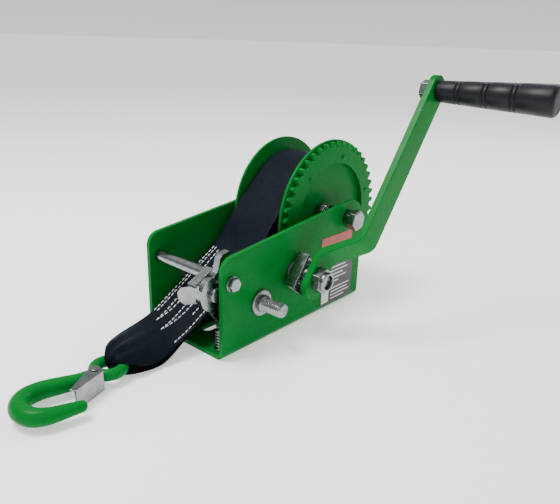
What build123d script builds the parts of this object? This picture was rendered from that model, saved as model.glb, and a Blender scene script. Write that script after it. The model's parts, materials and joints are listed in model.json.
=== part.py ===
from build123d import *
import math
import os

os.makedirs("parts", exist_ok=True)

# Boat trailer winch. +Z up, base on z = 0, crank on the +X side, strap pays out towards -Y.
# The origin is on the floor plane, midway between the cheeks, at the base's front edge.

# Frame: one U-shaped pressing
frame_inner_width = 84.0
plate = 4.0
frame_length = 184.0
bend_radius = 7.0
cheek_front_height = 84.0
cheek_slope = math.radians(6.0)
cheek_front_corner = 12.0
cheek_rear_corner = 20.0
blank_height = 120.0
slot_width = 10.0
slot_length = 22.0
slot_spacing = 100.0
slot_front_y = 32.0
tail_hole_r = 6.5
tail_hole_y = 164.0

# Gear train: module 3 stub teeth, pressure angle 25 degrees
module = 3.0
pressure_angle = math.radians(25.0)
addendum = 0.75 * module
dedendum = 0.95 * module
tooth_thinning = 0.3
ring_teeth = 44
pinion_teeth = 10
idler_teeth = 20
ring_centre = (159.0, 85.0)
input_direction = math.radians(203.3)
low_direction = math.radians(199.5)
flank_steps = 4

# Where each gear stands along X
ring_gear_x = 24.0
ring_gear_width = 4.6
input_pinion_x = 24.7
input_pinion_width = 5.8
idler_x = 31.0
idler_width = 7.0
low_pinion_x = 30.8
low_pinion_width = 7.4

# Shafts, bushes and bolts
shaft_r = 7.0
low_shaft_r = 6.0
thread_r = 6.0
running_gap = 0.05
bush_r = 9.0
bush_flange_r = 11.0
bush_flange = 2.6
axle_r = 5.0
axle_spacer_r = 8.0
axle_lock_height = 10.0
axle_overhang = 3.0
jam_flats = 15.0
jam_height = 6.4
axle_head = 6.4
nut_gap = 0.1
spacer_gap = 0.4
hex_m6 = 10.0
hex_m10 = 17.0
hex_m12 = 19.0
input_shaft_end = 80.0
input_thread = 16.0
low_thread = 19.0
thread_chamfer = 1.2
snap_ring = 1.2
snap_ring_gap = 0.3
snap_ring_wide = 3.0
low_stud_end = 71.0
shaft_left_end = -50.0

# Drum
drum_sheet = 2.5
left_flange_x = -37.0
left_flange_r = 65.0
gear_disc_x = 21.5
gear_disc_r = 69.5
ring_recess_r = 48.5
core_r = 24.0
core_wall = 2.5
drum_bush_r = 8.0
drum_bush_length = 14.0
coil_r = 52.5
strap_width = 50.0
strap_centre_x = -6.5
strap_bolt_radius = 16.6
strap_bolt_angle = math.radians(158.0)
strap_bolt_r = 4.0
strap_bolt_head = 3.6
strap_bolt_tail = 9.0
strap_nut_height = 6.0
strap_nut_collar = 2.2
hex_m8 = 13.0

# Crank and grip
crank_thick = 6.0
crank_width = 23.5
crank_angle = math.radians(52.7)
crank_hub_x = 65.5
crank_arm_x = 96.5
crank_length = 186.7
crank_tail = 17.0
crank_tip = 13.0
offset_start = 20.0
offset_end = 41.0
crank_bend = 9.0
crank_tail_corner = 9.5
crank_tip_corner = 10.5
crank_nut_height = 7.5
crank_nut_collar = 3.0
spacer_wall = 2.5
clip_length = 31.0
clip_width = 24.0
clip_x = 50.0
clip_height = 11.0
clip_sheet = 2.5
grip_length = 97.0
grip_r_start = 9.0
grip_r_end = 12.6
grip_bolt_r = 5.0
grip_grooves = (19.5, 42.8, 66.0)
groove_gap = 3.6
groove_depth = 0.9
groove_width = 1.5
grip_gap = 0.8
plug_r = 9.0
plug_depth = 9.0
plug_thick = 4.5
grip_bolt_head_r = 7.5
grip_bolt_head = 3.5
grip_nut_flats = 16.0
grip_nut_height = 8.0
bolt_overhang = 1.5

# Tie bar and pawl
tie_centre = (9.5, 64.0)
tie_r = 5.0
tie_bolt_r = 3.0
tie_bolt_gap = 0.2
tie_nut_height = 5.0
tie_bolt_overhang = 1.0
tie_flange_r = 6.2
tie_flange = 1.4
tie_head = 4.0
pawl_x = 31.5
pawl_thick = 6.0
pawl_hub_r = 11.0
pawl_clear_r = 23.2
pawl_tip_r = 20.0
upper_pallet = math.radians(88.5)
lower_pallet = math.radians(199.5)
lobe_centre = (0.0, 55.5)
boss_r = 6.0
pawl_sleeve_r = 6.5
lobe_r = 14.0
sleeve_left = 4.0
sleeve_gap = 0.4
boss_height = 3.6
tab_y = 13.0
tab_thick = 3.0
spring_centre = (34.0, 9.0)
spring_r = 4.4
spring_wire = 0.8
anchor_r = 4.9
spring_base_z = 5.8
spring_turns = 6
anchor_thick = 1.4
anchor_post = 7.0
post_gap = 0.5
spring_top_z = 20.6

# Strap lead and hook
strap_thick = 2.4
lead_gap = 0.5
hook_z = 8.9
eye_centre = (2.5, -73.4)
eye_r = 10.2
eye_section = 4.4
hook_section = 6.2
loop_gap = 1.4
neck_width = 6.0

inner_x = frame_inner_width / 2
outer_x = inner_x + plate


def ray(centre, angle, distance):
    """The (y, z) point at a distance and angle from a (y, z) centre."""
    return (
        centre[0] + distance * math.cos(angle),
        centre[1] + distance * math.sin(angle),
    )


def pitch_r(teeth):
    return module * teeth / 2


input_centre = ray(ring_centre, input_direction, pitch_r(ring_teeth) + pitch_r(pinion_teeth))
low_centre = ray(input_centre, low_direction, pitch_r(idler_teeth) + pitch_r(pinion_teeth))


def side(x, centre=(0.0, 0.0)):
    """A plane facing +X at a given x, whose sketch axes are +Y and +Z."""
    return Plane(origin=(x, centre[0], centre[1]), x_dir=(0, 1, 0), z_dir=(1, 0, 0))


def hex_radius(across_flats):
    return across_flats / math.sqrt(3)


def involute(angle):
    return math.tan(angle) - angle


def gear_points(teeth, phase):
    """A gear's outline as points, with the middle of a tooth at the phase angle."""
    pitch = pitch_r(teeth)
    base = pitch * math.cos(pressure_angle)
    root = pitch - dedendum
    tip = pitch + addendum
    start = max(base, root)
    radii = [start + (tip - start) * i / flank_steps for i in range(flank_steps + 1)]
    half = math.pi / (2 * teeth) + involute(pressure_angle) - tooth_thinning / (2 * pitch)
    flank = [(r, half - involute(math.acos(base / r))) for r in radii]
    if root < base:
        flank.insert(0, (root, flank[0][1]))
    points = []
    for tooth in range(teeth):
        middle = phase + 2 * math.pi * tooth / teeth
        for r, spread in flank:
            points.append((r * math.cos(middle - spread), r * math.sin(middle - spread)))
        for r, spread in reversed(flank):
            points.append((r * math.cos(middle + spread), r * math.sin(middle + spread)))
    return points


def gear_face(teeth, phase):
    with BuildSketch() as gear:
        with BuildLine():
            Polyline(*gear_points(teeth, phase), close=True)
        make_face()
    return gear.sketch


def finish(piece, name, colour):
    """Labels a piece and writes its file."""
    piece.part.label = name
    piece.part.color = Color(*colour)
    export_step(piece.part, f"parts/{name}.step")


def hex_nut(x, centre, across_flats, height, bore, collar=0.0, turn=0.0):
    """A hexagon nut facing +X, with a round locking collar where one is given."""
    with BuildPart() as nut:
        with BuildSketch(side(x, centre)):
            RegularPolygon(hex_radius(across_flats), 6, rotation=turn)
        extrude(amount=height)
        with BuildSketch(side(x, centre)):
            Circle(across_flats * 0.56)
        extrude(amount=height, mode=Mode.INTERSECT)
        if collar:
            with BuildSketch(side(x + height, centre)):
                Circle(across_flats * 0.44)
            extrude(amount=collar)
            chamfer(nut.edges().filter_by(GeomType.CIRCLE).group_by(Axis.X)[-1], collar * 0.3)
        with BuildSketch(side(x, centre)):
            Circle(bore)
        extrude(amount=height + collar, mode=Mode.SUBTRACT)
    return nut


green = (0.0, 0.45, 0.16)
zinc = (0.72, 0.74, 0.76)
dark_steel = (0.35, 0.36, 0.38)
webbing = (0.04, 0.05, 0.08)
black = (0.03, 0.03, 0.03)

# Frame
cheek_rear_height = cheek_front_height + frame_length * math.tan(cheek_slope)
with BuildPart() as frame:
    with BuildSketch(Plane.XZ):
        with BuildLine():
            Polyline(
                (-outer_x, blank_height),
                (-outer_x, 0),
                (outer_x, 0),
                (outer_x, blank_height),
                (inner_x, blank_height),
                (inner_x, plate),
                (-inner_x, plate),
                (-inner_x, blank_height),
                close=True,
            )
        make_face()
        fillet([v for v in vertices() if v.Y < 0.1], bend_radius)
        fillet([v for v in vertices() if abs(v.Y - plate) < 0.1], bend_radius - plate)
    extrude(amount=-frame_length)
    with BuildSketch(side(-outer_x)):
        with BuildLine():
            Polyline(
                (0, 0),
                (frame_length, 0),
                (frame_length, cheek_rear_height),
                (0, cheek_front_height),
                close=True,
            )
        make_face()
        fillet(vertices().sort_by(Axis.Y)[-1], cheek_rear_corner)
        fillet(vertices().group_by(Axis.X)[0].sort_by(Axis.Y)[-1], cheek_front_corner)
    extrude(amount=2 * outer_x, mode=Mode.INTERSECT)
    with BuildSketch(Plane.XY):
        with Locations((0, slot_front_y), (0, slot_front_y + slot_spacing)):
            SlotOverall(slot_length, slot_width, rotation=90)
        with Locations((0, tail_hole_y)):
            Circle(tail_hole_r)
    extrude(amount=plate, mode=Mode.SUBTRACT)
    for centre, radius in (
        (tie_centre, tie_bolt_r + tie_bolt_gap),
        (low_centre, bush_r),
        (input_centre, bush_r),
        (ring_centre, axle_r + 0.1),
    ):
        with BuildSketch(side(-outer_x, centre)):
            Circle(radius)
        extrude(amount=2 * outer_x, mode=Mode.SUBTRACT)
finish(frame, "frame", green)

# Tie bar, its bolt and nut
with BuildPart() as tie_bar:
    with BuildSketch(side(-inner_x, tie_centre)):
        Circle(tie_r)
        Circle(tie_bolt_r + tie_bolt_gap, mode=Mode.SUBTRACT)
    extrude(amount=frame_inner_width)
finish(tie_bar, "tie_bar", zinc)

tie_bolt_start = -outer_x - tie_nut_height - tie_bolt_overhang
with BuildPart() as tie_bolt:
    with BuildSketch(side(tie_bolt_start, tie_centre)):
        Circle(tie_bolt_r)
    extrude(amount=outer_x - tie_bolt_start)
    with BuildSketch(side(outer_x, tie_centre)):
        Circle(tie_flange_r)
    extrude(amount=tie_flange)
    with BuildSketch(side(outer_x + tie_flange, tie_centre)):
        RegularPolygon(hex_radius(hex_m6), 6)
    extrude(amount=tie_head)
    chamfer(tie_bolt.faces().sort_by(Axis.X)[-1].edges(), 0.5)
finish(tie_bolt, "tie_bolt", zinc)
tie_nut = hex_nut(-outer_x - tie_nut_height, tie_centre, hex_m6, tie_nut_height, tie_bolt_r)
finish(tie_nut, "tie_bolt_nut", zinc)

# Bushes in the cheeks
def bush(x, centre, outward):
    with BuildPart() as sleeve:
        with BuildSketch(side(x, centre)):
            Circle(bush_r)
        extrude(amount=plate)
        face_x = x + plate if outward > 0 else x
        with BuildSketch(side(face_x, centre)):
            Circle(bush_flange_r)
        extrude(amount=outward * bush_flange)
        rim = sleeve.edges().filter_by(GeomType.CIRCLE)
        chamfer(rim.group_by(Axis.X)[-1 if outward > 0 else 0], 0.5)
        with BuildSketch(side(x - bush_flange, centre)):
            Circle(shaft_r + running_gap)
        extrude(amount=plate + 2 * bush_flange, mode=Mode.SUBTRACT)
    return sleeve


for shaft_name, centre in (("input", input_centre), ("low", low_centre)):
    finish(bush(inner_x, centre, 1), f"{shaft_name}_bush_right", dark_steel)
    finish(bush(-outer_x, centre, -1), f"{shaft_name}_bush_left", dark_steel)

# Drum axle: a long bolt with a jam nut on the right cheek and a lock nut on the left
axle_start = -outer_x - axle_lock_height - axle_overhang
axle_head_x = outer_x + jam_height + nut_gap
with BuildPart() as axle_bolt:
    with BuildSketch(side(axle_start, ring_centre)):
        Circle(axle_r)
    extrude(amount=axle_head_x - axle_start)
    with BuildSketch(side(axle_head_x, ring_centre)):
        RegularPolygon(hex_radius(hex_m10), 6, rotation=12)
    extrude(amount=axle_head)
    chamfer(axle_bolt.faces().sort_by(Axis.X)[-1].edges(), 0.7)
finish(axle_bolt, "drum_axle_bolt", zinc)
finish(hex_nut(outer_x, ring_centre, jam_flats, jam_height, axle_r, turn=20), "axle_jam_nut", zinc)
lock_nut = hex_nut(-outer_x - axle_lock_height, ring_centre, hex_m10, axle_lock_height, axle_r)
finish(lock_nut, "axle_lock_nut", zinc)

drum_left = left_flange_x
drum_right = gear_disc_x + drum_sheet
with BuildPart() as axle_spacers:
    for start, end in ((-inner_x, drum_left - spacer_gap), (drum_right + spacer_gap, inner_x)):
        with BuildSketch(side(start, ring_centre)):
            Circle(axle_spacer_r)
            Circle(axle_r + running_gap, mode=Mode.SUBTRACT)
        extrude(amount=end - start)
finish(axle_spacers, "axle_spacers", zinc)

# Drum
ring_phase = input_direction + math.pi / ring_teeth
ring_face = gear_face(ring_teeth, ring_phase)
strap_bolt_centre = ray(ring_centre, strap_bolt_angle, strap_bolt_radius)
with BuildPart() as drum_left_flange:
    with BuildSketch(side(left_flange_x, ring_centre)):
        Circle(left_flange_r)
    extrude(amount=drum_sheet)
    fillet(drum_left_flange.edges().filter_by(GeomType.CIRCLE), 0.6)
    with BuildSketch(side(left_flange_x, ring_centre)):
        Circle(drum_bush_r)
    extrude(amount=drum_sheet, mode=Mode.SUBTRACT)
    with BuildSketch(side(left_flange_x, strap_bolt_centre)):
        Circle(strap_bolt_r)
    extrude(amount=drum_sheet, mode=Mode.SUBTRACT)
finish(drum_left_flange, "drum_left_flange", green)

core_left = left_flange_x + drum_sheet
with BuildPart() as drum_core:
    with BuildSketch(side(core_left, ring_centre)):
        Circle(core_r)
        Circle(core_r - core_wall, mode=Mode.SUBTRACT)
    extrude(amount=gear_disc_x - core_left)
finish(drum_core, "drum_core", green)

with BuildPart() as drum_gear:
    with BuildSketch(side(gear_disc_x, ring_centre)):
        Circle(gear_disc_r)
        Circle(drum_bush_r, mode=Mode.SUBTRACT)
    extrude(amount=drum_sheet)
    with BuildSketch(side(gear_disc_x, strap_bolt_centre)):
        Circle(strap_bolt_r)
    extrude(amount=drum_sheet, mode=Mode.SUBTRACT)
    with BuildSketch(side(ring_gear_x, ring_centre)):
        add(ring_face)
        Circle(ring_recess_r, mode=Mode.SUBTRACT)
    extrude(amount=ring_gear_width)
finish(drum_gear, "drum_gear", green)

with BuildPart() as drum_bushes:
    for start in (left_flange_x, gear_disc_x + drum_sheet - drum_bush_length):
        with BuildSketch(side(start, ring_centre)):
            Circle(drum_bush_r)
            Circle(axle_r + running_gap, mode=Mode.SUBTRACT)
        extrude(amount=drum_bush_length)
finish(drum_bushes, "drum_bushes", dark_steel)

with BuildPart() as strap_bolt:
    with BuildSketch(side(left_flange_x, strap_bolt_centre)):
        Circle(strap_bolt_r)
    extrude(amount=drum_right - left_flange_x + strap_bolt_tail)
    with BuildSketch(side(left_flange_x - strap_bolt_head, strap_bolt_centre)):
        RegularPolygon(hex_radius(hex_m8), 6)
    extrude(amount=strap_bolt_head)
finish(strap_bolt, "strap_bolt", zinc)
strap_nut = hex_nut(
    drum_right, strap_bolt_centre, hex_m8, strap_nut_height, strap_bolt_r, strap_nut_collar, turn=10
)
finish(strap_nut, "strap_bolt_nut", zinc)

with BuildPart() as strap_coil:
    with BuildSketch(side(strap_centre_x - strap_width / 2, ring_centre)):
        Circle(coil_r)
        Circle(core_r, mode=Mode.SUBTRACT)
    extrude(amount=strap_width)
finish(strap_coil, "strap_coil", webbing)

# Input shaft, its pinion and the idler gear keyed to it
input_phase = input_direction + math.pi
idler_phase = low_direction
low_phase = low_direction + math.pi + math.pi / pinion_teeth


def shaft(centre, radius, right_end, thread_length):
    with BuildPart() as rod:
        with BuildSketch(side(shaft_left_end, centre)):
            Circle(radius)
        extrude(amount=inner_x - shaft_left_end)
        with BuildSketch(side(inner_x, centre)):
            Circle(shaft_r)
        extrude(amount=right_end - thread_length - inner_x)
        with BuildSketch(side(right_end - thread_length, centre)):
            Circle(thread_r)
        extrude(amount=thread_length)
        ends = rod.edges().filter_by(GeomType.CIRCLE).group_by(Axis.X)
        chamfer(ends[-1], thread_chamfer)
        with BuildSketch(side(-outer_x - bush_flange, centre)):
            Circle(shaft_r)
        extrude(amount=plate + bush_flange)
    return rod


def keyed_gear(x, centre, teeth, phase, width, bore):
    face = gear_face(teeth, phase)
    with BuildPart() as gear:
        with BuildSketch(side(x, centre)):
            add(face)
            Circle(bore, mode=Mode.SUBTRACT)
        extrude(amount=width)
    return gear


finish(shaft(input_centre, shaft_r, input_shaft_end, input_thread), "input_shaft", zinc)
input_pinion = keyed_gear(
    input_pinion_x, input_centre, pinion_teeth, input_phase, input_pinion_width, shaft_r
)
finish(input_pinion, "input_pinion", dark_steel)
idler_gear = keyed_gear(idler_x, input_centre, idler_teeth, idler_phase, idler_width, shaft_r)
finish(idler_gear, "idler_gear", dark_steel)

# Low-speed shaft: a pinion on the idler gear, and a bare threaded end for the crank
finish(shaft(low_centre, low_shaft_r, low_stud_end, low_thread), "low_shaft", zinc)
low_pinion = keyed_gear(low_pinion_x, low_centre, pinion_teeth, low_phase, low_pinion_width, low_shaft_r)
finish(low_pinion, "low_pinion", dark_steel)

# Snap rings on the shafts' left ends
for shaft_name, centre, radius in (
    ("input", input_centre, shaft_r),
    ("low", low_centre, low_shaft_r),
):
    with BuildPart() as ring:
        with BuildSketch(side(-outer_x - bush_flange - snap_ring_gap - snap_ring, centre)):
            Circle(radius + snap_ring_wide)
            Circle(radius, mode=Mode.SUBTRACT)
        extrude(amount=snap_ring)
    finish(ring, f"{shaft_name}_snap_ring", dark_steel)


def along(x, distance=0.0, across=0.0):
    """A point of the crank's own frame: along the arm, and across it towards the front."""
    y = input_centre[0] + distance * math.cos(crank_angle) - across * math.sin(crank_angle)
    z = input_centre[1] + distance * math.sin(crank_angle) + across * math.cos(crank_angle)
    return (x, y, z)


arm_direction = (0, math.cos(crank_angle), math.sin(crank_angle))
arm_normal = (0, math.sin(crank_angle), -math.cos(crank_angle))
arm_side = Plane(origin=along(0), x_dir=arm_direction, z_dir=arm_normal)


def arm_face(x, distance=0.0):
    """A plane facing +X whose first axis runs along the crank."""
    return Plane(origin=along(x, distance), x_dir=arm_direction, z_dir=(1, 0, 0))


# Crank arm: flat bar with a double bend, rounded at both ends
grip_centre = (along(0, crank_length)[1], along(0, crank_length)[2])
hub_middle = crank_hub_x + crank_thick / 2
arm_middle = crank_arm_x + crank_thick / 2
with BuildPart() as crank_arm:
    with BuildSketch(arm_side):
        with BuildLine():
            FilletPolyline(
                (-crank_tail, hub_middle),
                (offset_start, hub_middle),
                (offset_end, arm_middle),
                (crank_length + crank_tip, arm_middle),
                radius=crank_bend,
            )
        trace(line_width=crank_thick)
    extrude(amount=crank_width / 2, both=True)
    ends = crank_arm.edges().filter_by(Axis.X)
    fillet(ends.sort_by(Axis.Z)[:2], crank_tail_corner)
    fillet(crank_arm.edges().filter_by(Axis.X).sort_by(Axis.Z)[-2:], crank_tip_corner)
    with BuildSketch(side(crank_hub_x, input_centre)):
        Circle(thread_r)
    extrude(amount=crank_thick, mode=Mode.SUBTRACT)
    with BuildSketch(side(crank_arm_x, grip_centre)):
        Circle(grip_bolt_r)
    extrude(amount=crank_thick, mode=Mode.SUBTRACT)
finish(crank_arm, "crank_arm", green)

crank_nut_x = crank_hub_x + crank_thick
crank_nut = hex_nut(
    crank_nut_x, input_centre, hex_m12, crank_nut_height, thread_r, crank_nut_collar, turn=23
)
finish(crank_nut, "crank_lock_nut", zinc)

# Drive clip: a zinc channel keyed on the shaft behind the crank
with BuildPart() as drive_clip:
    with BuildSketch(arm_face(clip_x)):
        Rectangle(clip_length, clip_width)
    extrude(amount=clip_sheet)
    for across in (-1, 1):
        with BuildSketch(arm_face(clip_x)):
            with Locations((0, across * (clip_width - clip_sheet) / 2)):
                Rectangle(clip_length, clip_sheet)
        extrude(amount=clip_height)
    with BuildSketch(side(clip_x, input_centre)):
        Circle(shaft_r)
    extrude(amount=clip_sheet, mode=Mode.SUBTRACT)
finish(drive_clip, "drive_clip", zinc)

with BuildPart() as crank_spacer:
    with BuildSketch(side(clip_x + clip_sheet, input_centre)):
        Circle(shaft_r + spacer_wall)
        Circle(shaft_r, mode=Mode.SUBTRACT)
    extrude(amount=crank_hub_x - clip_x - clip_sheet)
finish(crank_spacer, "crank_spacer", zinc)

# Grip, its bolt, nut and end plug
grip_start = crank_arm_x + crank_thick + grip_gap
grip_end = grip_start + grip_length
grip_bolt_start = crank_arm_x - grip_nut_height - bolt_overhang
with BuildPart() as grip_bolt:
    with BuildSketch(side(grip_bolt_start, grip_centre)):
        Circle(grip_bolt_r)
    extrude(amount=grip_end - plug_depth - grip_bolt_start)
    with BuildSketch(side(grip_end - plug_depth, grip_centre)):
        Circle(grip_bolt_head_r)
    extrude(amount=grip_bolt_head)
finish(grip_bolt, "grip_bolt", zinc)
grip_nut_x = crank_arm_x - grip_nut_height
grip_nut = hex_nut(grip_nut_x, grip_centre, grip_nut_flats, grip_nut_height, grip_bolt_r, turn=15)
finish(grip_nut, "grip_bolt_nut", zinc)


def grip_radius(distance):
    return grip_r_start + (grip_r_end - grip_r_start) * distance / grip_length


counterbore = grip_length - plug_depth - 0.2
with BuildPart() as grip:
    with BuildSketch(Plane.XZ):
        with BuildLine():
            Polyline(
                (0, grip_bolt_r + running_gap),
                (0, grip_r_start),
                (grip_length, grip_r_end),
                (grip_length, plug_r),
                (counterbore, plug_r),
                (counterbore, grip_bolt_r + running_gap),
                close=True,
            )
        make_face()
        fillet(vertices().sort_by(Axis.X)[-2:].sort_by(Axis.Y)[-1], 3.0)
    revolve(axis=Axis.X)
    for groove in grip_grooves:
        for shift in (-groove_gap / 2, groove_gap / 2):
            centre_x = groove + shift
            with BuildSketch(Plane.XZ):
                with Locations((centre_x, grip_radius(centre_x))):
                    Rectangle(groove_width, 2 * groove_depth)
            revolve(axis=Axis.X, mode=Mode.SUBTRACT)
grip.part.position = (grip_start, grip_centre[0], grip_centre[1])
finish(grip, "grip", black)

with BuildPart() as grip_plug:
    with BuildSketch(side(grip_end - plug_thick, grip_centre)):
        Circle(plug_r)
    extrude(amount=plug_thick)
    fillet(grip_plug.faces().sort_by(Axis.X)[-1].edges(), 1.0)
finish(grip_plug, "grip_end_plug", black)

# Ratchet pawl: a plate on the tie bar with two pallets, a thumb tab and a tail on the spring
with BuildPart() as pawl:
    with BuildSketch(side(pawl_x)):
        with Locations(tie_centre):
            Circle(pawl_hub_r)
        with Locations(lobe_centre):
            Circle(lobe_r)
        with BuildLine():
            Polyline(
                (-13.3, 60),
                (-13.0, 52),
                (-4.5, 42),
                (5.0, 29.5),
                (7.0, 22.4),
                (11.5, 22.4),
                (16, 27),
                (27, 27),
                (34, 44),
                (44, 57),
                (44, 66),
                (30, 70),
                (9.5, 75),
                close=True,
            )
        make_face()
        with Locations(low_centre):
            Circle(pawl_clear_r, mode=Mode.SUBTRACT)
        for pallet in (upper_pallet, lower_pallet):
            with BuildLine():
                Polyline(
                    ray(low_centre, pallet - 0.16, pawl_clear_r + 1.0),
                    ray(low_centre, pallet - 0.05, pawl_tip_r),
                    ray(low_centre, pallet + 0.05, pawl_tip_r),
                    ray(low_centre, pallet + 0.16, pawl_clear_r + 1.0),
                    close=True,
                )
            make_face()
        with BuildLine():
            Polyline(
                (3.5, 72),
                (6, 83),
                (9, 85.5),
                (16, 86.5),
                (16, 83.5),
                (11.5, 82),
                (12, 74),
                close=True,
            )
        make_face()
        with Locations(tie_centre):
            Circle(tie_r + running_gap, mode=Mode.SUBTRACT)
    extrude(amount=pawl_thick)
    with BuildSketch(Plane.XZ.offset(tab_y)):
        with BuildLine():
            Polyline(
                (pawl_x + 3, 65.5),
                (pawl_x + 3, 51),
                (17.5, 44.5),
                (10, 46),
                (9, 52),
                (13, 57.5),
                close=True,
            )
        make_face()
        fillet(vertices().sort_by(Axis.X)[:4], 2.5)
    extrude(amount=-tab_thick)
    with BuildSketch(Plane(origin=(pawl_x, -12.5, 64.5), x_dir=(0, 0.9, 0.43), z_dir=(1, 0, 0))):
        with Locations((8.5, 0)):
            Rectangle(21, 2.4)
    extrude(amount=-8.0)
finish(pawl, "pawl", zinc)

with BuildPart() as pawl_hub:
    with BuildSketch(side(pawl_x - sleeve_left, tie_centre)):
        Circle(pawl_sleeve_r)
        Circle(tie_r + running_gap, mode=Mode.SUBTRACT)
    extrude(amount=sleeve_left)
    with BuildSketch(side(pawl_x + pawl_thick, tie_centre)):
        Circle(pawl_sleeve_r)
        Circle(tie_r + running_gap, mode=Mode.SUBTRACT)
    extrude(amount=inner_x - pawl_x - pawl_thick - sleeve_gap)
finish(pawl_hub, "pawl_hub", zinc)

with BuildPart() as pawl_boss:
    with BuildSketch(side(pawl_x + pawl_thick, lobe_centre)):
        Circle(boss_r)
    extrude(amount=boss_height)
    fillet(pawl_boss.faces().sort_by(Axis.X)[-1].edges(), 1.0)
finish(pawl_boss, "pawl_boss", zinc)

# Pawl spring between the tail and the base, with its anchor below it
with BuildPart() as spring_anchor:
    with BuildSketch(Plane.XY.offset(plate)):
        with Locations(spring_centre):
            Circle(anchor_r)
    extrude(amount=anchor_thick)
    with BuildSketch(Plane.XY.offset(plate)):
        with Locations(spring_centre):
            Circle(spring_r - spring_wire - post_gap)
    extrude(amount=anchor_post)
finish(spring_anchor, "spring_anchor", zinc)

spring_pitch = (spring_top_z - spring_base_z) / spring_turns
with BuildPart() as pawl_spring:
    with BuildLine():
        coil = Helix(
            pitch=spring_pitch,
            height=spring_top_z - spring_base_z,
            radius=spring_r - spring_wire,
            center=(spring_centre[0], spring_centre[1], spring_base_z),
        )
    with BuildSketch(Plane(origin=coil @ 0, z_dir=coil % 0)):
        Circle(spring_wire)
    sweep(is_frenet=True)
finish(pawl_spring, "pawl_spring", zinc)

# Plates stuck on the right cheek, both plain
film = 0.4
info_plate_centre = (147.5, 26.0)
info_plate_size = (49.0, 40.0)
decal_centre = (144.5, 67.0)
decal_size = (47.0, 12.0)
with BuildPart() as info_plate:
    with BuildSketch(side(outer_x)):
        with Locations(info_plate_centre):
            RectangleRounded(*info_plate_size, 1.5)
    extrude(amount=film)
finish(info_plate, "info_plate", black)

with BuildPart() as top_decal:
    with BuildSketch(side(outer_x)):
        with Locations(decal_centre):
            RectangleRounded(*decal_size, 1.0)
    extrude(amount=film)
finish(top_decal, "top_decal", (0.6, 0.08, 0.06))

# Strap lead: down from the coil, under the tie bar, and round the hook's eye
loop_r = eye_section + loop_gap + strap_thick / 2
limb = (eye_centre[1] + eye_r, hook_z)
lead_r = coil_r + lead_gap + strap_thick / 2
shelf_end = (66.0, 63.5)
reach = math.hypot(shelf_end[0] - ring_centre[0], shelf_end[1] - ring_centre[1])
heading = math.atan2(shelf_end[1] - ring_centre[1], shelf_end[0] - ring_centre[0])
tangent_point = ray(ring_centre, heading - math.acos(lead_r / reach), lead_r)
with BuildPart() as strap_lead:
    with BuildSketch(side(strap_centre_x - strap_width / 2)):
        with BuildLine():
            FilletPolyline(
                tangent_point, shelf_end, (-12, 17.3), (-34, 15.2), (limb[0], limb[1] + loop_r), radius=8
            )
        trace(line_width=strap_thick)
        with Locations(limb):
            Circle(loop_r + strap_thick / 2)
        with BuildLine():
            Polyline(
                (limb[0], limb[1] - loop_r - strap_thick / 2),
                (limb[0], limb[1] - loop_r + strap_thick / 2),
                (-40, 3.4),
                (-26, 7.5),
                (-14, 16.0),
                (-10, 17.0),
                (-24, 6.0),
                (-38, 1.0),
                close=True,
            )
        make_face()
        with Locations(limb):
            Circle(loop_r - strap_thick / 2, mode=Mode.SUBTRACT)
        with Locations((limb[0] + 6, limb[1])):
            Rectangle(12, 2 * loop_r - strap_thick, mode=Mode.SUBTRACT)
    extrude(amount=strap_width)
    left, right = strap_centre_x - strap_width / 2, strap_centre_x + strap_width / 2
    with BuildSketch(Plane.XY.offset(-5)):
        with BuildLine():
            Polyline(
                (left, 170),
                (left, -30),
                (eye_centre[0] - neck_width / 2, -56.5),
                (eye_centre[0] - neck_width / 2, -75),
                (eye_centre[0] + neck_width / 2, -75),
                (eye_centre[0] + neck_width / 2, -56.5),
                (right, -30),
                (right, 170),
                close=True,
            )
        make_face()
    extrude(amount=200, mode=Mode.INTERSECT)
finish(strap_lead, "strap_lead", webbing)

# Hook: an eye, a round-bodied throat and a point, lying flat
hook_plane = Plane.XY.offset(hook_z)
hook_route = (
    (eye_centre[0] + 1.0, eye_centre[1] - eye_r - 1.0),
    (3.6, -97.0),
    (-1.2, -109.7),
    (-5.8, -121.8),
    (-5.2, -135.0),
    (4.5, -143.2),
    (18.5, -142.0),
    (25.5, -134.0),
    (28.4, -122.0),
    (31.0, -110.5),
)
with BuildPart() as hook:
    with BuildLine():
        spine = Spline(*[(x, y, hook_z) for x, y in hook_route])
    with BuildSketch(Plane(origin=spine @ 0, z_dir=spine % 0)):
        Circle(hook_section)
    sweep()
    eye_origin = (eye_centre[0], eye_centre[1], hook_z)
    with BuildSketch(Plane(origin=eye_origin, x_dir=(1, 0, 0), z_dir=(0, -1, 0))):
        with Locations((eye_r, 0)):
            Circle(eye_section)
    revolve(axis=Axis(eye_origin, (0, 0, 1)))
    with BuildSketch(hook_plane):
        with Locations(eye_centre):
            Circle(eye_r - eye_section)
    extrude(amount=hook_section + 1, both=True, mode=Mode.SUBTRACT)
finish(hook, "hook", green)

# Hook latch: a folded zinc gate on a cross pin. Its own frame runs from the pivot to the point.
latch_pivot = (8.6, -88.0)
latch_tip = (21.4, -112.4)
latch_angle = math.atan2(latch_tip[1] - latch_pivot[1], latch_tip[0] - latch_pivot[0])
latch_length = math.dist(latch_pivot, latch_tip)
latch_sheet = 1.2
latch_half = hook_section + 0.5 + latch_sheet
latch_pin_r = 2.0
pin_head = 0.8
pin_half = latch_half + 0.1 + pin_head
web_near = 7.0
web_far = 2.2
web_slope = (web_far - web_near) / latch_length
gate_x = (math.cos(latch_angle), math.sin(latch_angle), 0)
gate_plane = Plane(origin=(*latch_pivot, hook_z), x_dir=gate_x, z_dir=(0, 0, 1))


def web_edge(distance):
    return (distance, web_near + web_slope * distance)


def inside_web(distance):
    return (distance, web_near + web_slope * distance - latch_sheet)


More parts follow.
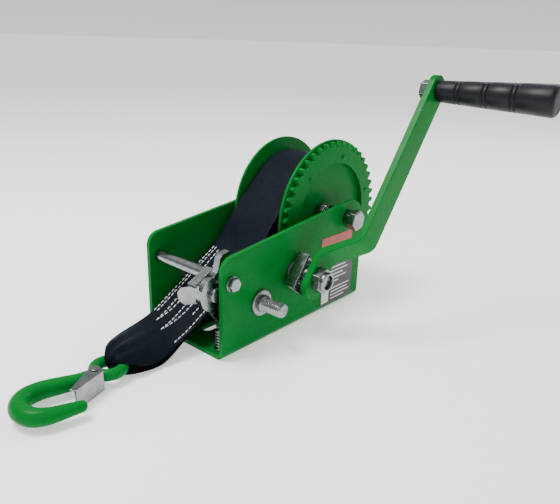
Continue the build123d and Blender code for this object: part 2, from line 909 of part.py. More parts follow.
with BuildPart() as hook_latch:
    with BuildSketch(gate_plane.offset(-latch_half)):
        with BuildLine():
            Polyline(
                (-4.5, -4.5),
                (-4.5, 1.0),
                web_edge(0.5),
                web_edge(latch_length),
                (latch_length, -2.5),
                close=True,
            )
        make_face()
        fillet(vertices().group_by(Axis.Y)[0], 2.0)
    extrude(amount=2 * latch_half)
    with BuildSketch(gate_plane.offset(-latch_half + latch_sheet)):
        with BuildLine():
            Polyline(
                inside_web(-12),
                inside_web(latch_length + 12),
                (latch_length + 12, -30),
                (-12, -30),
                close=True,
            )
        make_face()
    extrude(amount=2 * (latch_half - latch_sheet), mode=Mode.SUBTRACT)
    with BuildSketch(gate_plane.offset(-latch_half)):
        Circle(latch_pin_r + running_gap)
    extrude(amount=2 * latch_half, mode=Mode.SUBTRACT)
finish(hook_latch, "hook_latch", zinc)

with BuildPart() as latch_pin:
    with BuildSketch(gate_plane.offset(-pin_half)):
        Circle(latch_pin_r)
    extrude(amount=2 * pin_half)
    for head_start in (-pin_half, pin_half - pin_head):
        with BuildSketch(gate_plane.offset(head_start)):
            Circle(latch_pin_r + 1.2)
        extrude(amount=pin_head)
finish(latch_pin, "latch_pin", zinc)
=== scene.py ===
import json
import math
import bmesh
import bpy
from mathutils import Matrix, Vector


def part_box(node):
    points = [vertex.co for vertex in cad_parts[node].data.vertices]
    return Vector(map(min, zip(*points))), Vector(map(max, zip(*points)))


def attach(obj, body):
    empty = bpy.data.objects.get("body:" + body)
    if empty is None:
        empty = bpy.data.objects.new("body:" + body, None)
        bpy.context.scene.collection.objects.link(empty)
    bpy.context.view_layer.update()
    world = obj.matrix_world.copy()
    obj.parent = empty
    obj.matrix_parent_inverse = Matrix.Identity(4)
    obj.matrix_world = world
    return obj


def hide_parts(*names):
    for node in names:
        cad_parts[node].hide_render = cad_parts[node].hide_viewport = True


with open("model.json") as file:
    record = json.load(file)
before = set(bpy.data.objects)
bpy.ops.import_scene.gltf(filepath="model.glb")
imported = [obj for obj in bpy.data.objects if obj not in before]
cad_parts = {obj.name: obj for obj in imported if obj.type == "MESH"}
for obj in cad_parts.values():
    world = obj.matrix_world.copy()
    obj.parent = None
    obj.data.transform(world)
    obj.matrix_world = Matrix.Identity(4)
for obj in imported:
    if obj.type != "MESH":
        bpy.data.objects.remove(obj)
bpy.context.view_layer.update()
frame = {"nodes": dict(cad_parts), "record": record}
MM = 0.001

# Axes of the machine that run along X, as (y, z) in millimetres
DRUM = (159.0, 85.0)
INPUT = (84.61, 52.96)
LOW = (42.19, 37.94)
GRIP = (197.74, 201.48)

# Strap: its middle across the frame, half its width and its thickness
STRAP_X = -6.5
STRAP_HALF = 25.0
LAYER = 1.2
COLUMNS = 28

# Hook: the middle of its eye as (x, y), and the height of its flat plane
EYE = (2.5, -73.4)
HOOK_Z = 8.9

# Camera: place in metres, then its angles in degrees and its lens in millimetres
CAMERA_PLACE = (0.33737, -0.27452, 0.23841)
CAMERA_YAW, CAMERA_PITCH, CAMERA_ROLL = 40.67, 20.01, 1.82
CAMERA_LENS = 37.43


# ---------------------------------------------------------------- materials

def new_material(name, colour, roughness, metallic=0.0, **sockets):
    mat = bpy.data.materials.new(name)
    mat.use_nodes = True
    shader = mat.node_tree.nodes["Principled BSDF"]
    shader.inputs["Base Color"].default_value = (*colour, 1.0)
    shader.inputs["Roughness"].default_value = roughness
    shader.inputs["Metallic"].default_value = metallic
    for key, value in sockets.items():
        shader.inputs[key.replace("_", " ")].default_value = value
    return mat


def node(mat, kind, **values):
    made = mat.node_tree.nodes.new(kind)
    for key, value in values.items():
        made.inputs[key.replace("_", " ")].default_value = value
    return made


def link(mat, out, into):
    mat.node_tree.links.new(out, into)


def noise(mat, size_mm, detail=3.0, stretch=(1.0, 1.0, 1.0)):
    """Noise in the row frame, whose features are about size_mm across."""
    place = node(mat, "ShaderNodeTexCoord")
    scaled = node(mat, "ShaderNodeMapping", Scale=stretch)
    made = node(mat, "ShaderNodeTexNoise", Scale=1.0 / (size_mm * MM), Detail=detail)
    link(mat, place.outputs["Object"], scaled.inputs["Vector"])
    link(mat, scaled.outputs["Vector"], made.inputs["Vector"])
    return made.outputs["Fac"]


def ramp(mat, value, low, high):
    made = node(mat, "ShaderNodeMapRange", From_Min=0.3, From_Max=0.7, To_Min=low, To_Max=high)
    link(mat, value, made.inputs["Value"])
    return made.outputs["Result"]


def tint(mat, value, dark, light):
    made = mat.node_tree.nodes.new("ShaderNodeValToRGB")
    made.color_ramp.elements[0].position = 0.3
    made.color_ramp.elements[0].color = (*dark, 1.0)
    made.color_ramp.elements[1].position = 0.7
    made.color_ramp.elements[1].color = (*light, 1.0)
    link(mat, value, made.inputs["Fac"])
    link(mat, made.outputs["Color"], mat.node_tree.nodes["Principled BSDF"].inputs["Base Color"])


def bump(mat, height, depth_mm, strength=1.0):
    made = node(mat, "ShaderNodeBump", Strength=strength, Distance=depth_mm * MM)
    link(mat, height, made.inputs["Height"])
    link(mat, made.outputs["Normal"], mat.node_tree.nodes["Principled BSDF"].inputs["Normal"])
    return made


def finish_of(name, dark, light, rough, metallic, patch_mm, grain_mm, depth_mm, stretch=(1, 1, 1), **sockets):
    """A finish whose colour and roughness drift in patches and whose grain stands depth_mm proud."""
    mat = new_material(name, light, rough[1], metallic, **sockets)
    patches = noise(mat, patch_mm)
    tint(mat, patches, dark, light)
    shader = mat.node_tree.nodes["Principled BSDF"]
    link(mat, ramp(mat, noise(mat, patch_mm * 0.4, stretch=stretch), *rough), shader.inputs["Roughness"])
    bump(mat, noise(mat, grain_mm, 2.0, stretch), depth_mm)
    return mat


green = finish_of("green_powder", (0.0, 0.135, 0.018), (0.0, 0.155, 0.022), (0.22, 0.32), 0.0, 30, 1.6, 0.015,
                  Specular_IOR_Level=0.05)
zinc = finish_of("zinc", (0.2, 0.215, 0.22), (0.29, 0.31, 0.315), (0.18, 0.28), 1.0, 6, 0.5, 0.008)
zinc_sheet = finish_of("zinc_sheet", (0.2, 0.215, 0.22), (0.29, 0.305, 0.31), (0.2, 0.3), 1.0, 8, 0.8, 0.015)
steel = finish_of("machined_steel", (0.16, 0.165, 0.17), (0.32, 0.325, 0.33), (0.3, 0.46), 1.0, 5, 0.4, 0.012,
                  (1.0, 6.0, 6.0))
plastic = finish_of("grip_plastic", (0.004, 0.005, 0.007), (0.008, 0.009, 0.012), (0.36, 0.5), 0.0, 12, 0.35,
                    0.02, (0.25, 1.0, 1.0), Specular_IOR_Level=0.2)
film = finish_of("black_film", (0.012, 0.011, 0.014), (0.02, 0.019, 0.024), (0.3, 0.4), 0.0, 8, 0.7, 0.005)
red = finish_of("red_film", (0.3, 0.02, 0.015), (0.42, 0.04, 0.03), (0.32, 0.44), 0.0, 6, 0.7, 0.005)
pale = finish_of("pale_print", (0.55, 0.55, 0.55), (0.7, 0.7, 0.7), (0.4, 0.5), 0.0, 4, 0.6, 0.004)
thread_white = finish_of("stitch_thread", (0.5, 0.51, 0.52), (0.75, 0.75, 0.74), (0.6, 0.75), 0.0, 2, 0.25,
                         0.05)


def webbing_material():
    """Woven polyester: rows of yarn along the strap, from the UVs, which are in metres."""
    mat = new_material("webbing", (0.008, 0.011, 0.019), 0.5, 0.0, Sheen_Weight=0.02, Sheen_Roughness=0.4,
                       Specular_IOR_Level=0.05)
    shader = mat.node_tree.nodes["Principled BSDF"]
    uv = node(mat, "ShaderNodeUVMap")
    uv.uv_map = "along"
    yarn = node(mat, "ShaderNodeTexBrick", Scale=1.0, Mortar_Size=0.00016, Mortar_Smooth=1.0,
                Brick_Width=0.0030, Row_Height=0.0011)
    yarn.offset = 0.5
    yarn.inputs["Color1"].default_value = (1.0, 1.0, 1.0, 1.0)
    yarn.inputs["Color2"].default_value = (0.82, 0.82, 0.82, 1.0)
    yarn.inputs["Mortar"].default_value = (0.25, 0.25, 0.25, 1.0)
    turned = node(mat, "ShaderNodeMapping", Rotation=(0.0, 0.0, math.pi / 2))
    link(mat, uv.outputs["UV"], turned.inputs["Vector"])
    link(mat, turned.outputs["Vector"], yarn.inputs["Vector"])
    fine = noise(mat, 7.0, 4.0)
    mixed = node(mat, "ShaderNodeMix")
    mixed.data_type = "RGBA"
    mixed.blend_type = "MULTIPLY"
    mixed.inputs[0].default_value = 0.8
    shade = mat.node_tree.nodes.new("ShaderNodeValToRGB")
    shade.color_ramp.elements[0].color = (0.0015, 0.003, 0.006, 1.0)
    shade.color_ramp.elements[1].color = (0.006, 0.011, 0.019, 1.0)
    link(mat, fine, shade.inputs["Fac"])
    link(mat, shade.outputs["Color"], mixed.inputs[6])
    link(mat, yarn.outputs["Color"], mixed.inputs[7])
    link(mat, mixed.outputs[2], shader.inputs["Base Color"])
    link(mat, ramp(mat, noise(mat, 3.0), 0.42, 0.58), shader.inputs["Roughness"])
    wrinkle = bump(mat, noise(mat, 9.0, 3.0), 0.5, 0.5)
    weave = node(mat, "ShaderNodeBump", Strength=0.6, Distance=0.00018)
    link(mat, yarn.outputs["Color"], weave.inputs["Height"])
    link(mat, weave.outputs["Normal"], wrinkle.inputs["Normal"])
    return mat


webbing = webbing_material()


# ---------------------------------------------------------------- mesh tools

def add_piece(name, mesh, mat, body, replaced=()):
    piece = bpy.data.objects.new(name, mesh)
    bpy.context.scene.collection.objects.link(piece)
    mesh.materials.clear()
    mesh.materials.append(mat)
    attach(piece, body)
    if replaced:
        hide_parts(*replaced)
    return piece


def mesh_from(name, verts, faces, smooth_angle=40.0):
    mesh = bpy.data.meshes.new(name)
    mesh.from_pydata([tuple(c * MM for c in v) for v in verts], [], faces)
    mesh.update()
    mesh.polygons.foreach_set("use_smooth", [True] * len(mesh.polygons))
    mesh.set_sharp_from_angle(angle=math.radians(smooth_angle))
    return mesh


def applied(piece):
    """Applies a piece's modifiers to its mesh."""
    bpy.context.view_layer.update()
    held = piece.evaluated_get(bpy.context.evaluated_depsgraph_get())
    mesh = bpy.data.meshes.new_from_object(held)
    piece.modifiers.clear()
    piece.data = mesh
    return piece


BODY_OF = {n: b for b, members in frame["record"]["behaviour"]["bodies"].items() for n in members}


def rounded(name, mat, width=0.4, segments=2, angle=32.0):
    """A CAD node with its edges rounded, which stands for the node."""
    mesh = frame["nodes"][name].data.copy()
    work = bmesh.new()
    work.from_mesh(mesh)
    bmesh.ops.remove_doubles(work, verts=work.verts, dist=2e-6)
    bmesh.ops.dissolve_limit(work, angle_limit=math.radians(0.4), verts=work.verts, edges=work.edges)
    work.to_mesh(mesh)
    work.free()
    mesh.polygons.foreach_set("use_smooth", [True] * len(mesh.polygons))
    piece = bpy.data.objects.new(name + "_finish", mesh)
    bpy.context.scene.collection.objects.link(piece)
    edge = piece.modifiers.new("edges", "BEVEL")
    edge.width = width * MM
    edge.segments = segments
    edge.limit_method = "ANGLE"
    edge.angle_limit = math.radians(angle)
    edge.use_clamp_overlap = True
    edge.miter_outer = "MITER_ARC"
    weighted = piece.modifiers.new("normals", "WEIGHTED_NORMAL")
    weighted.keep_sharp = True
    applied(piece)
    piece.data.materials.clear()
    piece.data.materials.append(mat)
    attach(piece, BODY_OF[name])
    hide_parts(name)
    return piece


def lathe(name, centre, profile, steps=64, smooth_angle=40.0):
    """A solid turned about a line along X through centre, from (x, r) points."""
    verts, faces = [], []
    for x, r in profile:
        for i in range(steps):
            a = 2 * math.pi * i / steps
            verts.append((x, centre[0] + r * math.cos(a), centre[1] + r * math.sin(a)))
    for j in range(len(profile) - 1):
        for i in range(steps):
            k = (i + 1) % steps
            faces.append((j * steps + i, j * steps + k, (j + 1) * steps + k, (j + 1) * steps + i))
    faces.append(tuple(reversed(range(steps))))
    faces.append(tuple(range((len(profile) - 1) * steps, len(profile) * steps)))
    return mesh_from(name, verts, faces, smooth_angle)


def threaded(name, centre, plain, thread, pitch=1.75, depth=1.0, steps=40):
    """A rod from (x, r) points whose far end carries a thread over the x range given."""
    x0, x1, r = thread
    verts, faces = [], []
    rows = [(x, radius, False) for x, radius in plain]
    count = int((x1 - x0) / pitch * 8)
    rows += [(x0 + (x1 - x0) * i / count, r, True) for i in range(count + 1)]
    for x, radius, cut in rows:
        for i in range(steps):
            a = 2 * math.pi * i / steps
            here = radius
            if cut:
                wave = abs(((x / pitch - i / steps) % 1.0) * 2.0 - 1.0)
                fade = min(1.0, (x1 - x) / 1.4)
                here = (radius - depth * min(1.0, wave * 1.25)) * (0.86 + 0.14 * fade)
            verts.append((x, centre[0] + here * math.cos(a), centre[1] + here * math.sin(a)))
    for j in range(len(rows) - 1):
        for i in range(steps):
            k = (i + 1) % steps
            faces.append((j * steps + i, j * steps + k, (j + 1) * steps + k, (j + 1) * steps + i))
    faces.append(tuple(reversed(range(steps))))
    faces.append(tuple(range((len(rows) - 1) * steps, len(rows) * steps)))
    return mesh_from(name, verts, faces, 50.0)


def chaikin(rows, rounds=3):
    """Rounds the corners of a row of control values, keeping its ends."""
    for _ in range(rounds):
        new = [rows[0]]
        for a, b in zip(rows, rows[1:]):
            new.append(tuple(p * 0.75 + q * 0.25 for p, q in zip(a, b)))
            new.append(tuple(p * 0.25 + q * 0.75 for p, q in zip(a, b)))
        new.append(rows[-1])
        rows = new
    return rows


# ---------------------------------------------------------------- painted parts

for name, width in (("frame", 0.9), ("crank_arm", 1.1), ("drum_left_flange", 0.5), ("drum_core", 0.3)):
    rounded(name, green, width, 3)
rounded("drum_gear", green, 0.45, 2)

# Three tack welds on the gear's face
GEAR_FACE = 28.5
verts, faces = [], []


def dome(x, centre, radii, height, rings=5, steps=18):
    """Adds a shallow dome facing +X, with half widths along Y and Z, to verts and faces."""
    start = len(verts)
    for j in range(rings + 1):
        lift = math.cos(j / rings * math.pi / 2)
        spread = math.sin(j / rings * math.pi / 2)
        for i in range(steps):
            a = 2 * math.pi * i / steps
            verts.append((x + height * lift, centre[0] + radii[0] * spread * math.cos(a),
                          centre[1] + radii[1] * spread * math.sin(a)))
    for j in range(rings):
        for i in range(steps):
            k = (i + 1) % steps
            a = start + j * steps
            faces.append((a + i, a + steps + i, a + steps + k, a + k))
    faces.append(tuple(start + i for i in reversed(range(steps))))
    faces.append(tuple(start + rings * steps + i for i in range(steps)))


for turn, r in ((76.7, 54.5), (132.7, 52.5), (15.8, 56.0)):
    a = math.radians(turn)
    dome(GEAR_FACE, (DRUM[0] + r * math.cos(a), DRUM[1] + r * math.sin(a)), (2.8, 2.4), 1.3)
welds = mesh_from("gear_welds", verts, faces)
add_piece("gear_welds", welds, green, "drum")

# ---------------------------------------------------------------- plated parts

for name, width in (
    ("tie_bar", 0.3), ("tie_bolt", 0.35), ("tie_bolt_nut", 0.35), ("drum_axle_bolt", 0.5),
    ("axle_jam_nut", 0.5), ("axle_lock_nut", 0.5), ("axle_spacers", 0.3), ("strap_bolt", 0.3),
    ("strap_bolt_nut", 0.4), ("crank_spacer", 0.3), ("crank_lock_nut", 0.5), ("grip_bolt", 0.3),
    ("grip_bolt_nut", 0.6), ("spring_anchor", 0.25), ("latch_pin", 0.25),
):
    rounded(name, zinc, width)
for name, width in (
    ("drive_clip", 0.5), ("pawl", 0.7), ("pawl_hub", 0.4), ("pawl_boss", 0.3), ("hook_latch", 0.35),
):
    rounded(name, zinc_sheet, width, 3)
for name in ("input_bush_right", "input_bush_left", "low_bush_right", "low_bush_left", "drum_bushes",
             "input_snap_ring", "low_snap_ring"):
    rounded(name, steel, 0.3)
for name in ("input_pinion", "idler_gear", "low_pinion"):
    rounded(name, steel, 0.35)
spring_mesh = frame["nodes"]["pawl_spring"].data
spring_mesh.materials.clear()
spring_mesh.materials.append(zinc)

low_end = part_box("low_shaft")[1].x / MM
left_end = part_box("low_shaft")[0].x / MM
low_mesh = threaded("low_shaft_finish", LOW,
                    [(left_end, 5.4), (left_end + 0.6, 6.0), (-48.6, 6.0), (-48.6, 7.0), (-42.0, 7.0),
                     (-42.0, 6.0), (42.0, 6.0), (42.0, 7.0), (51.2, 7.0), (52.0, 6.0)],
                    (52.1, low_end, 6.0))
add_piece("low_shaft_finish", low_mesh, zinc, "low_shaft", ("low_shaft",))
input_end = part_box("input_shaft")[1].x / MM
input_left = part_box("input_shaft")[0].x / MM
input_mesh = threaded("input_shaft_finish", INPUT,
                      [(input_left, 6.4), (input_left + 0.6, 7.0), (63.2, 7.0), (64.0, 6.0)],
                      (64.1, input_end, 6.0))
add_piece("input_shaft_finish", input_mesh, zinc, "crank", ("input_shaft",))

# ---------------------------------------------------------------- grip

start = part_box("grip")[0].x / MM
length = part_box("grip")[1].x / MM - start


def grip_r(d):
    return 9.0 + 3.6 * d / length


profile = [(start, 5.05), (start, 8.2), (start + 0.3, 8.7), (start + 1.0, grip_r(1.0))]
for groove in (19.5, 42.8, 66.0):
    for shift in (-1.8, 1.8):
        d = groove + shift
        r = grip_r(d)
        middle = start + d
        profile += [(middle - 1.1, grip_r(d - 1.1)), (middle - 0.8, r - 0.15), (middle - 0.6, r - 0.6),
                    (middle, r - 0.9), (middle + 0.6, r - 0.6), (middle + 0.8, r - 0.15),
                    (middle + 1.1, grip_r(d + 1.1))]
for i in range(7):
    a = math.radians(90 - 15 * i)
    profile.append((start + length - 3.0 + 3.0 * math.cos(a), grip_r(length) - 3.0 + 3.0 * math.sin(a)))
profile += [(start + length, 9.1), (start + length - 1.2, 9.0)]
grip_mesh = lathe("grip_finish", GRIP, profile, 96, 35.0)
add_piece("grip_finish", grip_mesh, plastic, "grip", ("grip",))
rounded("grip_end_plug", plastic, 0.4)

# ---------------------------------------------------------------- hook

# The hook's centre line as (x, y), from the eye round the bend to the tip, and its radius at each point
route = ((3.0, -84.0), (3.5, -89.5), (3.4, -97.0), (-1.2, -109.7), (-5.6, -121.8), (-4.9, -134.6),
         (4.6, -143.0), (18.4, -141.8), (25.4, -133.9), (28.5, -122.0), (31.0, -112.6))
radii = (4.6, 5.2, 5.6, 6.2, 6.6, 6.9, 6.9, 6.6, 5.9, 5.0, 4.1)
smooth_route = chaikin([(x, y, r) for (x, y), r in zip(route, radii)], 4)
verts, faces = [], []
ring = 28
for i, (x, y, r) in enumerate(smooth_route):
    a = smooth_route[max(i - 1, 0)]
    b = smooth_route[min(i + 1, len(smooth_route) - 1)]
    across = Vector((b[1] - a[1], -(b[0] - a[0]), 0)).normalized()
    for k in range(ring):
        t = 2 * math.pi * k / ring
        side = r * math.cos(t)
        verts.append((x + across.x * side, y + across.y * side, HOOK_Z + r * math.sin(t)))
for i in range(len(smooth_route) - 1):
    for k in range(ring):
        n = (k + 1) % ring
        faces.append((i * ring + k, i * ring + n, (i + 1) * ring + n, (i + 1) * ring + k))
faces.append(tuple(reversed(range(ring))))
faces.append(tuple(range((len(smooth_route) - 1) * ring, len(smooth_route) * ring)))
first = len(verts)
around, eye_r, wire_r = 96, 10.2, 4.5
for i in range(around):
    t = 2 * math.pi * i / around
    for k in range(ring):
        s = 2 * math.pi * k / ring
        r = eye_r + wire_r * math.cos(s)
        verts.append((EYE[0] + r * math.cos(t), EYE[1] + r * math.sin(t), HOOK_Z + wire_r * math.sin(s)))
for i in range(around):
    for k in range(ring):
        a, b = first + i * ring, first + ((i + 1) % around) * ring
        n = (k + 1) % ring
        faces.append((a + k, b + k, b + n, a + n))
tip = len(verts)
tip_x, tip_y = route[-1]
tip_r = 4.2
for j in range(1, 9):
    for k in range(ring):
        p, t = math.pi * j / 9, 2 * math.pi * k / ring
        verts.append((tip_x + tip_r * math.sin(p) * math.cos(t), tip_y + tip_r * math.cos(p),
                      HOOK_Z + tip_r * math.sin(p) * math.sin(t)))
for j in range(7):
    a, b = tip + j * ring, tip + (j + 1) * ring
    for k in range(ring):
        n = (k + 1) % ring
        faces.append((a + k, a + n, b + n, b + k))
faces.append(tuple(tip + k for k in reversed(range(ring))))
faces.append(tuple(tip + 7 * ring + k for k in range(ring)))
hook_mesh = mesh_from("hook_finish", verts, faces)
hook = bpy.data.objects.new("hook_finish", hook_mesh)
bpy.context.scene.collection.objects.link(hook)
merge = hook.modifiers.new("forging", "REMESH")
merge.mode = "VOXEL"
merge.voxel_size = 0.00055
merge.use_smooth_shade = True
relax = hook.modifiers.new("polish", "SMOOTH")
relax.factor = 0.5
relax.iterations = 8
applied(hook)
hook_mesh = hook.data
bpy.data.objects.remove(hook)
add_piece("hook_finish", hook_mesh, green, "hook", ("hook",))

# ---------------------------------------------------------------- strap

def ribbon(name, rows, thickness, columns):
    """A closed strap along rows of (y, z, half width, x centre, pleat, droop, lift).

    Returns its mesh, the points and normals of its middle layer row by row, and each row's distance along."""
    verts, faces, uvs = [], [], []
    outer, travelled, lengths = [], 0.0, []
    for i, row in enumerate(rows):
        a, b = rows[max(i - 1, 0)], rows[min(i + 1, len(rows) - 1)]
        ty, tz = b[0] - a[0], b[1] - a[1]
        size = math.hypot(ty, tz)
        ny, nz = tz / size, -ty / size
        if i:
            travelled += math.hypot(row[0] - rows[i - 1][0], row[1] - rows[i - 1][1])
        lengths.append(travelled)
        y, z, half, centre, pleat, droop, lift = row
        line = []
        for j in range(columns + 1):
            u = -1 + 2 * j / columns
            wave = pleat * (math.cos(3.0 * math.pi * u + 0.5) + 0.25 * math.sin(7.0 * u + travelled * 0.09))
            ripple = 0.16 * math.sin(travelled * 0.11 + 2.4 * u) * math.sin(travelled * 0.047 + u)
            off = lift + wave + ripple - droop * abs(u) ** 2.6 * (1.0 + 0.6 * u)
            line.append((centre + half * u, y + ny * off, z + nz * off, ny, nz))
        outer.append(line)
    half_t = thickness / 2
    ring = 2 * (columns + 1)
    for i, line in enumerate(outer):
        for j, (x, y, z, ny, nz) in enumerate(line):
            trim = 0.35 if j in (0, columns) else 1.0
            verts.append((x, y + ny * half_t * trim, z + nz * half_t * trim))
        for j, (x, y, z, ny, nz) in reversed(list(enumerate(line))):
            trim = 0.35 if j in (0, columns) else 1.0
            verts.append((x, y - ny * half_t * trim, z - nz * half_t * trim))
    for i in range(len(outer) - 1):
        for j in range(ring):
            k = (j + 1) % ring
            a, b = i * ring, (i + 1) * ring
            faces.append((a + j, b + j, b + k, a + k))
            uvs.append(((j, i), (j, i + 1), (j + 1, i + 1), (j + 1, i)))
    faces.append(tuple(range(ring)))
    uvs.append(tuple((j, 0) for j in range(ring)))
    last = (len(outer) - 1) * ring
    faces.append(tuple(last + j for j in reversed(range(ring))))
    uvs.append(tuple((j, len(outer) - 1) for j in reversed(range(ring))))
    mesh = mesh_from(name, verts, faces, 60.0)
    layer = mesh.uv_layers.new(name="along")
    spot = 0
    for corners in uvs:
        for j, i in corners:
            j = j if j <= columns else ring - j
            layer.data[spot].uv = (2 * STRAP_HALF * MM * j / columns, lengths[i] * MM)
            spot += 1
    return mesh, outer, lengths


# Wound strap: one spiral from the core to the outermost turn
rows = []
turns, inside, rise = 16.7, 24.9, 1.6
steps = int(turns * 40)
for i in range(steps + 1):
    t = 2 * math.pi * i / 40 + 2.0
    r = inside + rise * i / 40
    shift = 0.5 * math.sin(i * 0.021) + 0.35 * math.sin(i * 0.083 + 1.0)
    rows.append((DRUM[0] + r * math.cos(t), DRUM[1] + r * math.sin(t), STRAP_HALF - 0.3, STRAP_X + shift,
                 0, 0, 0))
coil_mesh, _, _ = ribbon("strap_coil_finish", rows, 1.35, 6)
add_piece("strap_coil_finish", coil_mesh, webbing, "drum", ("strap_coil",))

# Free strap: the last turn over the drum, the stitched fold, and the loop through the eye
rows = []
wrap_r, wrap_start = 53.25, math.radians(-95)
shelf = (66.0, 63.5)
reach = math.hypot(shelf[0] - DRUM[0], shelf[1] - DRUM[1])
heading = math.atan2(shelf[1] - DRUM[1], shelf[0] - DRUM[0])
leave = heading - math.acos(wrap_r / reach) + 2 * math.pi
for i in range(40):
    t = wrap_start + (leave - wrap_start) * i / 39
    rows.append((DRUM[0] + wrap_r * math.cos(t), DRUM[1] + wrap_r * math.sin(t), 25, STRAP_X, 0, 0, 0))
over = [
    (90.0, 93.2, 25, -6.5, 0, 0, 0.1),
    (72.0, 70.9, 25, -6.5, 0, 0, 0.3),
    (64.0, 62.3, 25, -6.5, 0, 0, 0.62),
    (50.0, 54.0, 25, -6.5, 0.05, 0, 0.62),
    (30.0, 42.2, 25, -6.5, 0.1, 0, 0.62),
    (10.0, 30.4, 25, -6.5, 0.1, 0.1, 0.62),
    (-8.0, 19.9, 25, -6.5, 0.1, 0.3, 0.62),
    (-20.0, 16.6, 25, -6.5, 0.15, 1.6, 0.62),
    (-31.0, 15.9, 24.8, -6.3, 0.25, 4.6, 0.62),
    (-42.0, 16.1, 23.6, -5.5, 0.4, 6.4, 0.62),
    (-52.0, 16.8, 20.8, -3.6, 0.6, 6.0, 0.62),
    (-60.0, 17.4, 17.0, -1.4, 0.8, 4.0, 0.62),
    (-66.5, 17.0, 13.0, 0.4, 1.0, 2.0, 0.5),
    (-70.6, 14.0, 8.6, 1.8, 1.3, 0.8, 0.3),
    (-71.9, 9.2, 5.3, 2.5, 1.3, 0, 0),
    (-69.0, 3.8, 6.6, 2.4, 0.7, 0, 0),
    (-63.0, 1.8, 10.5, 1.6, 0.3, 0, 0),
    (-54.0, 1.6, 16.0, -1.0, 0.15, 0, 0),
    (-44.0, 1.6, 21.5, -4.0, 0.1, 0, 0),
    (-35.0, 3.0, 24.6, -6.0, 0, 0, 0.2),
    (-27.0, 7.0, 25, -6.5, 0, 0, 0.4),
    (-19.0, 12.4, 25, -6.5, 0, 0, 0.62),
    (-8.0, 19.6, 25, -6.5, 0, 0, 0.62),
    (10.0, 30.4, 25, -6.5, 0, 0, 0.62),
    (30.0, 42.2, 25, -6.5, 0, 0, 0.62),
    (50.0, 54.0, 25, -6.5, 0, 0, 0.62),
    (62.0, 61.1, 25, -6.5, 0, 0, 0.62),
]
first_free = len(rows)
rows = rows + chaikin([rows[-1]] + over, 3)[1:]
lead_mesh, lead_outer, lead_lengths = ribbon("strap_lead_finish", rows, LAYER, COLUMNS)
strap = add_piece("strap_lead_finish", lead_mesh, webbing, "frame", ("strap_lead",))

# Stitching in white thread on the doubled part
stitch_verts, stitch_faces = [], []
TOP_LAYER = 240.0
STITCH_SIDES = 6
top_rows = [i for i in range(first_free, len(rows)) if lead_lengths[i] < lead_lengths[first_free] + TOP_LAYER]
top_rows = [i for i in top_rows if i == first_free or rows[i][0] < rows[i - 1][0]]


def on_strap(x, y):
    """A point and normal on the strap's upper face at x across and y along the frame."""
    for i in top_rows[:-1]:
        if rows[i][0] >= y >= rows[i + 1][0]:
            f = (rows[i][0] - y) / max(rows[i][0] - rows[i + 1][0], 1e-6)
            j = (x - STRAP_X + STRAP_HALF) / (2 * STRAP_HALF) * COLUMNS
            j0 = max(0, min(COLUMNS - 1, int(j)))
            g = j - j0
            corners = ((lead_outer[i][j0], (1 - f) * (1 - g)), (lead_outer[i][j0 + 1], (1 - f) * g),
                       (lead_outer[i + 1][j0], f * (1 - g)), (lead_outer[i + 1][j0 + 1], f * g))
            total = [sum(c[n] * w for c, w in corners) for n in range(5)]
            normal = Vector((0, total[3], total[4])).normalized()
            return Vector(total[:3]) + normal * (LAYER / 2), normal
    return None


def stitch(a, b):
    """One stitch between two points of the strap: a short rounded bar that dips at its ends."""
    pa, pb = on_strap(*a), on_strap(*b)
    if pa is None or pb is None:
        return
    along = (pb[0] - pa[0]).normalized()
    side = along.cross(pa[1]).normalized()
    base = len(stitch_verts)
    for f, lift in ((0.0, -0.15), (0.15, 0.2), (0.5, 0.32), (0.85, 0.2), (1.0, -0.15)):
        middle = pa[0].lerp(pb[0], f) + pa[1] * lift
        for k in range(STITCH_SIDES):
            t = 2 * math.pi * k / STITCH_SIDES
            stitch_verts.append(tuple(middle + side * 0.48 * math.cos(t) + pa[1] * 0.3 * math.sin(t)))
    for j in range(4):
        near, far = base + j * STITCH_SIDES, base + (j + 1) * STITCH_SIDES
        for k in range(STITCH_SIDES):
            n = (k + 1) % STITCH_SIDES
            stitch_faces.append((near + k, near + n, far + n, far + k))
    stitch_faces.append(tuple(base + k for k in reversed(range(STITCH_SIDES))))
    stitch_faces.append(tuple(base + 4 * STITCH_SIDES + k for k in range(STITCH_SIDES)))


def seam(a, b, pitch=4.4, gap=1.3):
    """A row of stitches from a to b, each (x, y)."""
    span = math.hypot(b[0] - a[0], (b[1] - a[1]) * 1.15)
    count = max(1, round(span / pitch))
    for i in range(count):
        f, g = i / count, (i + 1 - gap / pitch) / count
        stitch((a[0] + (b[0] - a[0]) * f, a[1] + (b[1] - a[1]) * f),
               (a[0] + (b[0] - a[0]) * g, a[1] + (b[1] - a[1]) * g))


# Rows of stitching from (x, y) to (x, y): two straight rows, two narrow Vs, and two straight rows
for line in (
    ((-29.5, 62), (-29.5, -8)), ((-26.3, 62), (-26.3, -7)),
    ((-21.5, 60), (-17.8, -14)), ((-17.8, -14), (-14.5, 2)), ((-14.5, 2), (-12.0, 60)),
    ((-7.5, 40), (-4.0, -20)), ((-4.0, -20), (-0.5, 0)), ((-0.5, 0), (2.0, 60)),
    ((8.5, 60), (8.5, 2)), ((16.0, 60), (15.8, -24)),
):
    seam(*line)
stitches = mesh_from("strap_stitching", stitch_verts, stitch_faces, 60.0)
stitching = add_piece("strap_stitching", stitches, thread_white, "frame")

# ---------------------------------------------------------------- plates on the right cheek

for name, mat, slot in (("info_plate", film, "black_plate"), ("top_decal", red, "red_decal")):
    rounded(name, mat, 0.12)
verts, faces = [], []


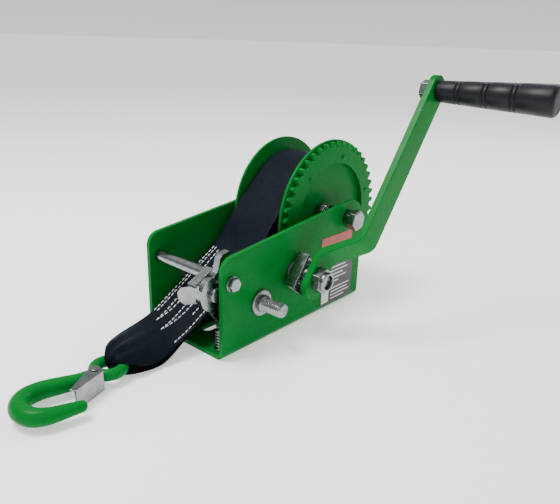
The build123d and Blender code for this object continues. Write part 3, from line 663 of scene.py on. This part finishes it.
def mark(y0, y1, z0, z1, x=46.4, thick=0.06):
    """Adds a thin bevelled bar on the plate to verts and faces."""
    start = len(verts)
    inset = 0.12
    for depth, shrink in ((-0.02, 0.0), (thick * 0.5, 0.0), (thick, inset)):
        for y, z in ((y0 + shrink, z0 + shrink), (y1 - shrink, z0 + shrink), (y1 - shrink, z1 - shrink),
                     (y0 + shrink, z1 - shrink)):
            verts.append((x + depth, y, z))
    for j in (0, 4):
        for k in range(4):
            n = (k + 1) % 4
            faces.append((start + j + k, start + j + n, start + j + 4 + n, start + j + 4 + k))
    faces.append((start + 3, start + 2, start + 1, start))
    faces.append((start + 8, start + 9, start + 10, start + 11))


mark(125.0, 135.5, 8.0, 20.0)
for i, end in enumerate((160, 164, 157, 162, 150)):
    mark(128.0, end, 40.5 - 3.6 * i, 41.7 - 3.6 * i)
for i, end in enumerate((168, 165, 168, 160)):
    mark(139.0, end, 19.6 - 3.4 * i, 20.7 - 3.4 * i)
add_piece("plate_marks", mesh_from("plate_marks", verts, faces), pale, "frame")

# ---------------------------------------------------------------- floor, lights and camera

bpy.ops.mesh.primitive_plane_add(size=120.0, location=(0, 0, -0.0002))
floor = bpy.context.object
floor.name = "floor"
floor_mat = new_material("floor_white", (0.9, 0.9, 0.9), 0.8, Specular_IOR_Level=0.0,
                         Emission_Color=(1.0, 1.0, 1.0, 1.0), Emission_Strength=0.6)
floor.data.materials.append(floor_mat)


def area_light(name, place, size, power, target=(0.03, 0.05, 0.05)):
    data = bpy.data.lights.new(name, "AREA")
    data.shape = "RECTANGLE"
    data.size, data.size_y = size
    data.energy = power
    lamp = bpy.data.objects.new(name, data)
    bpy.context.scene.collection.objects.link(lamp)
    lamp.location = place
    lamp.rotation_euler = (Vector(target) - Vector(place)).to_track_quat("-Z", "Y").to_euler()
    return lamp


area_light("key", (-0.35, -0.35, 1.2), (0.5, 0.5), 22)
area_light("right", (1.1, -0.5, 0.7), (0.4, 0.4), 2)
area_light("back", (0.2, 1.2, 0.9), (1.0, 0.4), 9)
world = bpy.data.worlds.new("studio")
bpy.context.scene.world = world
world.use_nodes = True
sky = world.node_tree.nodes["Background"]
sky.inputs["Strength"].default_value = 1.0
heading = world.node_tree.nodes.new("ShaderNodeTexCoord")
split = world.node_tree.nodes.new("ShaderNodeSeparateXYZ")
bands = world.node_tree.nodes.new("ShaderNodeValToRGB")
for spot, level in ((0.0, 1.0), (0.05, 0.9), (0.2, 0.3)):
    stop = bands.color_ramp.elements[0] if spot == 0.0 else bands.color_ramp.elements.new(spot)
    stop.position = spot
    stop.color = (level, level, level, 1.0)
bands.color_ramp.elements[-1].color = (0.9, 0.9, 0.9, 1.0)  # straight up
world.node_tree.links.new(heading.outputs["Generated"], split.inputs["Vector"])
world.node_tree.links.new(split.outputs["Z"], bands.inputs["Fac"])
world.node_tree.links.new(bands.outputs["Color"], sky.inputs["Color"])

yaw, pitch, roll = (math.radians(a) for a in (CAMERA_YAW, CAMERA_PITCH, CAMERA_ROLL))
back = Vector((math.sin(yaw) * math.cos(pitch), -math.cos(yaw) * math.cos(pitch), math.sin(pitch)))
right = Vector((math.cos(yaw), math.sin(yaw), 0))
up = back.cross(right)
right, up = (right * math.cos(roll) + up * math.sin(roll), up * math.cos(roll) - right * math.sin(roll))
camera_data = bpy.data.cameras.new("camera")
camera_data.sensor_width = 36.0
camera_data.lens = CAMERA_LENS
camera_data.clip_start = 0.01
camera = bpy.data.objects.new("camera", camera_data)
bpy.context.scene.collection.objects.link(camera)
turn = Matrix((right, up, back)).transposed().to_4x4()
camera.matrix_world = Matrix.Translation(CAMERA_PLACE) @ turn
bpy.context.scene.camera = camera
